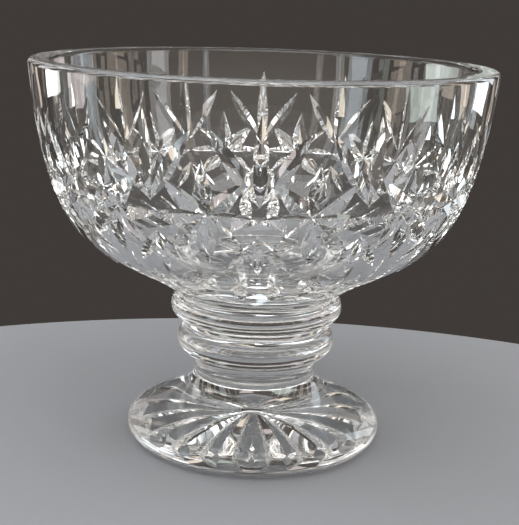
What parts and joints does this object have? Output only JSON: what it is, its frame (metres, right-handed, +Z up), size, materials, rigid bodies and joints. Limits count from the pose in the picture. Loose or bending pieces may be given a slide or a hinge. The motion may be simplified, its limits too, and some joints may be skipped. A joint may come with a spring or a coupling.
{
  "type": "footed bowl",
  "caption": "Thick clear cut-glass bowl on a ringed stem and a domed round foot, for serving fruit or sweets or for display.",
  "frame": {"origin": "centre of the flat underside of the foot", "axes": "+Z up along the bowl's turning axis; -Y faces the picture's viewer"},
  "size_m": [0.2026, 0.2026, 0.172],
  "materials": {
    "clear_glass": "clear colourless crystal glass, cut and polished"
  },
  "bodies": {
    "root": {"bowl": "clear_glass", "upper_ring": "clear_glass", "lower_ring": "clear_glass", "neck": "clear_glass", "foot": "clear_glass"}
  },
  "joints": []
}
